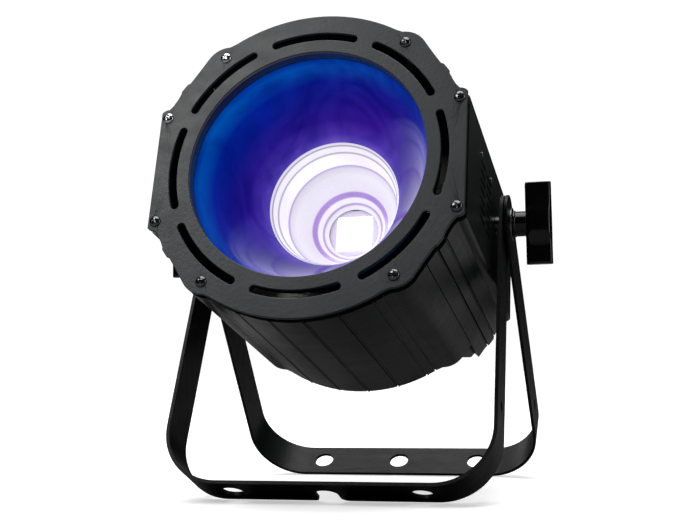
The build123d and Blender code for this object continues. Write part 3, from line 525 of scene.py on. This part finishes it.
def bowl_profile():
    """Inside and outside outlines of the spun bowl, with a flat rim."""
    wall = 1.1
    steps = 40
    inside = []
    for step in range(steps + 1):
        share = step / steps
        radius = math.sqrt(BOWL_NECK_R ** 2 + share * (BOWL_RIM_R ** 2 - BOWL_NECK_R ** 2))
        inside.append((radius, BOWL_NECK_Z + share * (BOWL_RIM_Z - BOWL_NECK_Z)))
    inside.append((BOWL_RIM_R + 0.4, BOWL_RIM_Z))
    outside = [(89.5, BOWL_RIM_Z), (89.5, BOWL_RIM_Z - 0.7), (BOWL_RIM_R + 1.6, BOWL_RIM_Z - 0.7)]
    outside += [(r + wall * 0.85, z - wall * 0.5) for r, z in reversed(inside[:-1])]
    return inside, outside


def tube_profile():
    """Inside and outside outlines of the stepped tube."""
    inside = [(47.6, 57.6), (47.0, 56.2), (46.2, 56.0), (44.8, 49.5), (43.9, 49.2), (41.6, 33.6),
              (40.2, 32.8), (29.4, 12.6), (26.0, 9.8), (23.4, 5.0), (21.8, 4.4), (19.9, 2.2), (19.2, 1.8)]
    outside = [(19.2, 1.0), (20.6, 1.0), (24.4, 3.8), (27.0, 8.2), (30.6, 11.2), (41.6, 31.6),
               (43.2, 33.0), (45.4, 48.0), (47.6, 54.6), (49.0, 56.4), (53.8, 56.4), (53.8, 57.6)]
    return inside, outside


def add_reflector(name, outlines, segments, finish, node):
    """A spun reflector, finished inside and plain outside."""
    inside, outside = outlines
    mesh = mesh_from(lambda bm: lathe(bm, inside + outside, segments, len(inside) - 1), name, HEAD_MM)
    piece = add_object(name, mesh, "head", [MATERIALS[finish], MATERIALS["reflector_back"]], 42)
    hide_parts(node)


def make_reflectors():
    """The bowl, the stepped tube and the soft ring round the rim."""
    add_reflector("bowl_reflector", bowl_profile(), 240, "bowl", "outer_reflector")
    add_reflector("stepped_reflector", tube_profile(), 200, "tube", "inner_reflector")
    ring = rounded([(82.4, 118.2), (82.4, 125.8), (87.9, 125.8), (87.9, 118.2)], 0.6)
    seal = mesh_from(lambda bm: lathe(bm, ring, 160), "seal", HEAD_MM)
    piece = add_object("rim_gasket", seal, "head", [MATERIALS["seal_ring"]])
    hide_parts("rim_seal")


# ---- Knobs --------------------------------------------------------------

HANDLE_HALF_LENGTH = 30.0
HANDLE_HALF_DEPTH = 4.9
HUB_SWELL = 2.2
HUB_SWELL_HEIGHT = 10.5


def knob_depth(x_share, height):
    """Half-thickness of the T-handle: flat inboard, rounded off outboard, swollen round its hub."""
    swell = HUB_SWELL / (1.0 + (abs(height) / HUB_SWELL_HEIGHT) ** 6)
    side = min(1.0, x_share / 0.12, (1.0 - x_share) / 0.34)
    crown = 0.35 + 0.65 * math.sqrt(max(0.0, 1.0 - (1.0 - side) ** 2))
    end = min(1.0, (HANDLE_HALF_LENGTH - abs(height)) / 1.2)
    edge = 0.80 + 0.20 * math.sqrt(max(0.0, 1.0 - (1.0 - end) ** 2))
    return (HANDLE_HALF_DEPTH + swell) * crown * edge


def sheet_border(sheet):
    """The vertices round the edge of a grid, in order."""
    outer = [line[-1] for line in sheet[1:-1]]
    inner = [line[0] for line in sheet[-2:0:-1]]
    return sheet[0] + outer + sheet[-1][::-1] + inner


def build_handle(bm):
    """Closed T-handle grid: two faces that meet at their borders."""
    inner_x = 129.6
    outer_x = 148.4
    columns = [0.0, 0.03, 0.07, 0.12, 0.25, 0.40, 0.52, 0.62, 0.68, 0.74, 0.80, 0.86, 0.91, 0.95, 0.98,
               1.0]
    rows = [-1.0, -0.99, -0.975, -0.96, -0.93] + [step / 20 for step in range(-18, 19)]
    rows += [0.93, 0.96, 0.975, 0.99, 1.0]
    sheets = []
    for sign in (-1, 1):
        sheet = []
        for row in rows:
            height = row * HANDLE_HALF_LENGTH
            line = []
            for share in columns:
                x = inner_x + (outer_x - inner_x) * share
                line.append(bm.verts.new((x, sign * knob_depth(share, height), height)))
            sheet.append(line)
        sheets.append(sheet)
        for low, high in zip(sheet, sheet[1:]):
            for index in range(len(columns) - 1):
                bm.faces.new((low[index], low[index + 1], high[index + 1], high[index]))
    front, rear = sheets
    border = sheet_border(front)
    partner = sheet_border(rear)
    for index, vertex in enumerate(border):
        following = (index + 1) % len(border)
        bm.faces.new((vertex, border[following], partner[following], partner[index]))


def build_hub(bm):
    """Round hub with a small collar at the washer and a bore for the stud."""
    hub_r = 9.7
    bore_r = 4.1
    start = 120.8
    end = 130.6
    corners = [(bore_r, start), (hub_r + 0.1, start), (hub_r + 0.1, start + 1.4), (hub_r - 0.5, start + 2.0),
               (hub_r - 0.5, end), (bore_r, end)]
    profile = rounded(corners, 0.35, 3)
    lathe(bm, profile, 96)
    bmesh.ops.transform(bm, matrix=Matrix.Rotation(math.radians(90), 4, "Y"), verts=bm.verts)


def make_knobs():
    """T-handle knobs on both ends of the tilt axis."""
    for body, turn in (("right_knob", 0.0), ("left_knob", 180.0)):
        place = PIVOT_MM @ Matrix.Rotation(math.radians(turn), 4, "Z")
        handle = mesh_from(build_handle, body + "_handle", place)
        hub = mesh_from(build_hub, body + "_hub", place)
        for name, mesh in ((body + "_handle", handle), (body + "_hub", hub)):
            piece = add_object(name, mesh, body, [MATERIALS["gloss_black"]], 38)
            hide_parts(body)


# ---- Bezel screws -------------------------------------------------------

def build_screw(bm):
    """Pan head with a cross recess, its underside on z = 0."""
    recess_r = 0.45
    arm_length = 2.15
    arm_half_width = 0.42
    profile = [(0.0, 0.62), (recess_r, 0.70), (recess_r, 1.98), (1.8, 1.86), (2.9, 1.5), (3.55, 0.95),
               (3.85, 0.4), (3.85, 0.0), (2.1, 0.0), (2.1, -5.0), (0.0, -5.0)]
    segments = 48
    rings = []
    for radius, z in profile:
        if radius == 0.0:
            rings.append([bm.verts.new((0, 0, z))])
            continue
        ring = []
        for step in range(segments):
            turn = math.tau * step / segments
            reach = radius
            if radius == recess_r:
                across = min(abs(math.sin(turn)), abs(math.cos(turn)))
                reach = min(arm_length, arm_half_width / max(across, 0.01))
            ring.append(bm.verts.new((reach * math.cos(turn), reach * math.sin(turn), z)))
        rings.append(ring)
    for low, high in zip(rings, rings[1:]):
        for step in range(segments):
            following = (step + 1) % segments
            if len(low) == 1:
                bm.faces.new((low[0], high[step], high[following]))
            elif len(high) == 1:
                bm.faces.new((low[step], high[0], low[following]))
            else:
                bm.faces.new((low[step], high[step], high[following], low[following]))


def make_bezel_screws():
    """Eight pan heads on the bezel's front: bright at the upper left, blackened elsewhere."""
    corner = (102.3, 38.8)
    lobe = (64.2, 83.2)
    front = 128.45
    number = 0
    for x, y in (corner, lobe):
        for x_sign in (-1, 1):
            for y_sign in (-1, 1):
                number += 1
                place = Matrix.Translation((x * x_sign, y * y_sign, front))
                place = HEAD_MM @ place @ Matrix.Rotation(math.radians(37 * number), 4, "Z")
                mesh = mesh_from(build_screw, f"bezel_screw_{number}", place)
                bright = x_sign < 0 and y_sign > 0
                finish = MATERIALS["chrome" if bright else "black_steel"]
                piece = add_object(f"bezel_screw_{number}", mesh, "head", [finish], 30)
                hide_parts("bezel_screws")


# ---- Stage, light and camera --------------------------------------------

def make_stage():
    """Pale floor that runs out of sight: bright to the eye, but it throws little light back up."""
    g = Graph("pale_floor", Roughness=0.9, Specular_IOR_Level=0.0)
    paper = g.mix(g.noise(3, 3), (0.90, 0.90, 0.90), (0.94, 0.94, 0.94))
    seen = g.node("ShaderNodeLightPath").outputs["Is Camera Ray"]
    g.colour(g.mix(seen, (0.22, 0.22, 0.22), paper))
    g.bsdf.inputs["Emission Color"].default_value = (1, 1, 1, 1)
    g.link(g.math("MULTIPLY", seen, 0.5), g.bsdf.inputs["Emission Strength"])
    bm = bmesh.new()
    bmesh.ops.create_grid(bm, x_segments=8, y_segments=8, size=40.0)
    mesh = bpy.data.meshes.new("floor")
    bm.to_mesh(mesh)
    bm.free()
    mesh.materials.append(g.material)
    floor = bpy.data.objects.new("floor", mesh)
    floor.location.z = -0.0005
    bpy.context.scene.collection.objects.link(floor)


def area_light(name, place, target, size, power, colour=(1, 1, 1)):
    """Rectangular soft light aimed at a point."""
    light = bpy.data.lights.new(name, "AREA")
    light.shape = "RECTANGLE"
    light.size, light.size_y = size
    light.energy = power
    light.color = colour
    lamp = bpy.data.objects.new(name, light)
    lamp.location = place
    lamp.rotation_euler = (Vector(place) - Vector(target)).to_track_quat("Z", "Y").to_euler()
    bpy.context.scene.collection.objects.link(lamp)


def make_world():
    """White backdrop; the room that lights the piece is brightest behind it and overhead."""
    world = bpy.data.worlds.new("studio")
    bpy.context.scene.world = world
    world.use_nodes = True
    tree = world.node_tree
    room = tree.nodes["Background"]
    backdrop = tree.nodes.new("ShaderNodeBackground")
    backdrop.inputs["Color"].default_value = (1, 1, 1, 1)
    backdrop.inputs["Strength"].default_value = 1.05
    direction = tree.nodes.new("ShaderNodeTexCoord").outputs["Generated"]
    toward = tree.nodes.new("ShaderNodeVectorMath")
    toward.operation = "DOT_PRODUCT"
    toward.inputs[1].default_value = (0.0, 0.42, 0.91)
    tree.links.new(direction, toward.inputs[0])
    ramp = tree.nodes.new("ShaderNodeValToRGB")
    for element, (place, grey) in zip(ramp.color_ramp.elements, ((0.55, 0.01), (1.0, 0.55))):
        element.position = place
        element.color = (grey, grey, grey, 1)
    tree.links.new(toward.outputs["Value"], ramp.inputs["Fac"])
    tree.links.new(ramp.outputs["Color"], room.inputs["Color"])
    room.inputs["Strength"].default_value = 0.8
    seen = tree.nodes.new("ShaderNodeLightPath").outputs["Is Camera Ray"]
    mixer = tree.nodes.new("ShaderNodeMixShader")
    tree.links.new(seen, mixer.inputs[0])
    tree.links.new(room.outputs[0], mixer.inputs[1])
    tree.links.new(backdrop.outputs[0], mixer.inputs[2])
    tree.links.new(mixer.outputs[0], tree.nodes["World Output"].inputs["Surface"])


def make_lights():
    """A key softbox high on the left, a broad overhead glow, a strip on the right and a rear fill."""
    make_world()
    middle = (0.0, 0.0, 0.2)
    area_light("key_light", (-0.62, -0.85, 1.15), middle, (0.55, 0.55), 7)
    sky = bpy.data.lights.new("overhead_sun", "SUN")
    sky.energy = 2.2
    sky.angle = math.radians(50)
    bpy.context.scene.collection.objects.link(bpy.data.objects.new("overhead_sun", sky))
    area_light("rear_fill", (-0.5, 1.3, 0.85), middle, (0.8, 0.8), 6)
    area_light("right_strip", (1.1, -0.2, 0.55), middle, (0.25, 0.9), 2.2)


# Azimuth, elevation and roll in degrees, lens in millimetres, and the way from the tilt axis in metres
CAMERA_ANGLES = (15.298, -5.342, -0.782)
CAMERA_LENS = 59.82
CAMERA_OFFSET = Vector((0.22779, -0.84718, -0.10553))


def make_camera():
    """Camera a little below the light's middle, to its right, looking slightly up."""
    azimuth, elevation, roll = (math.radians(angle) for angle in CAMERA_ANGLES)
    back = Vector((math.sin(azimuth) * math.cos(elevation), -math.cos(azimuth) * math.cos(elevation),
                   math.sin(elevation)))
    across = Vector((math.cos(azimuth), math.sin(azimuth), 0))
    above = back.cross(across)
    turn = Matrix((across, above, back)).transposed() @ Matrix.Rotation(roll, 3, "Z")
    data = bpy.data.cameras.new("camera")
    data.sensor_width = 36.0
    data.lens = CAMERA_LENS
    camera = bpy.data.objects.new("camera", data)
    camera.matrix_world = Matrix.Translation(PIVOT + CAMERA_OFFSET) @ turn.to_4x4()
    bpy.context.scene.collection.objects.link(camera)
    bpy.context.scene.camera = camera


dress_nodes()
soften_edges()
make_reflectors()
make_knobs()
make_bezel_screws()
make_stage()
make_lights()
make_camera()
bpy.context.scene.view_settings.view_transform = "Standard"
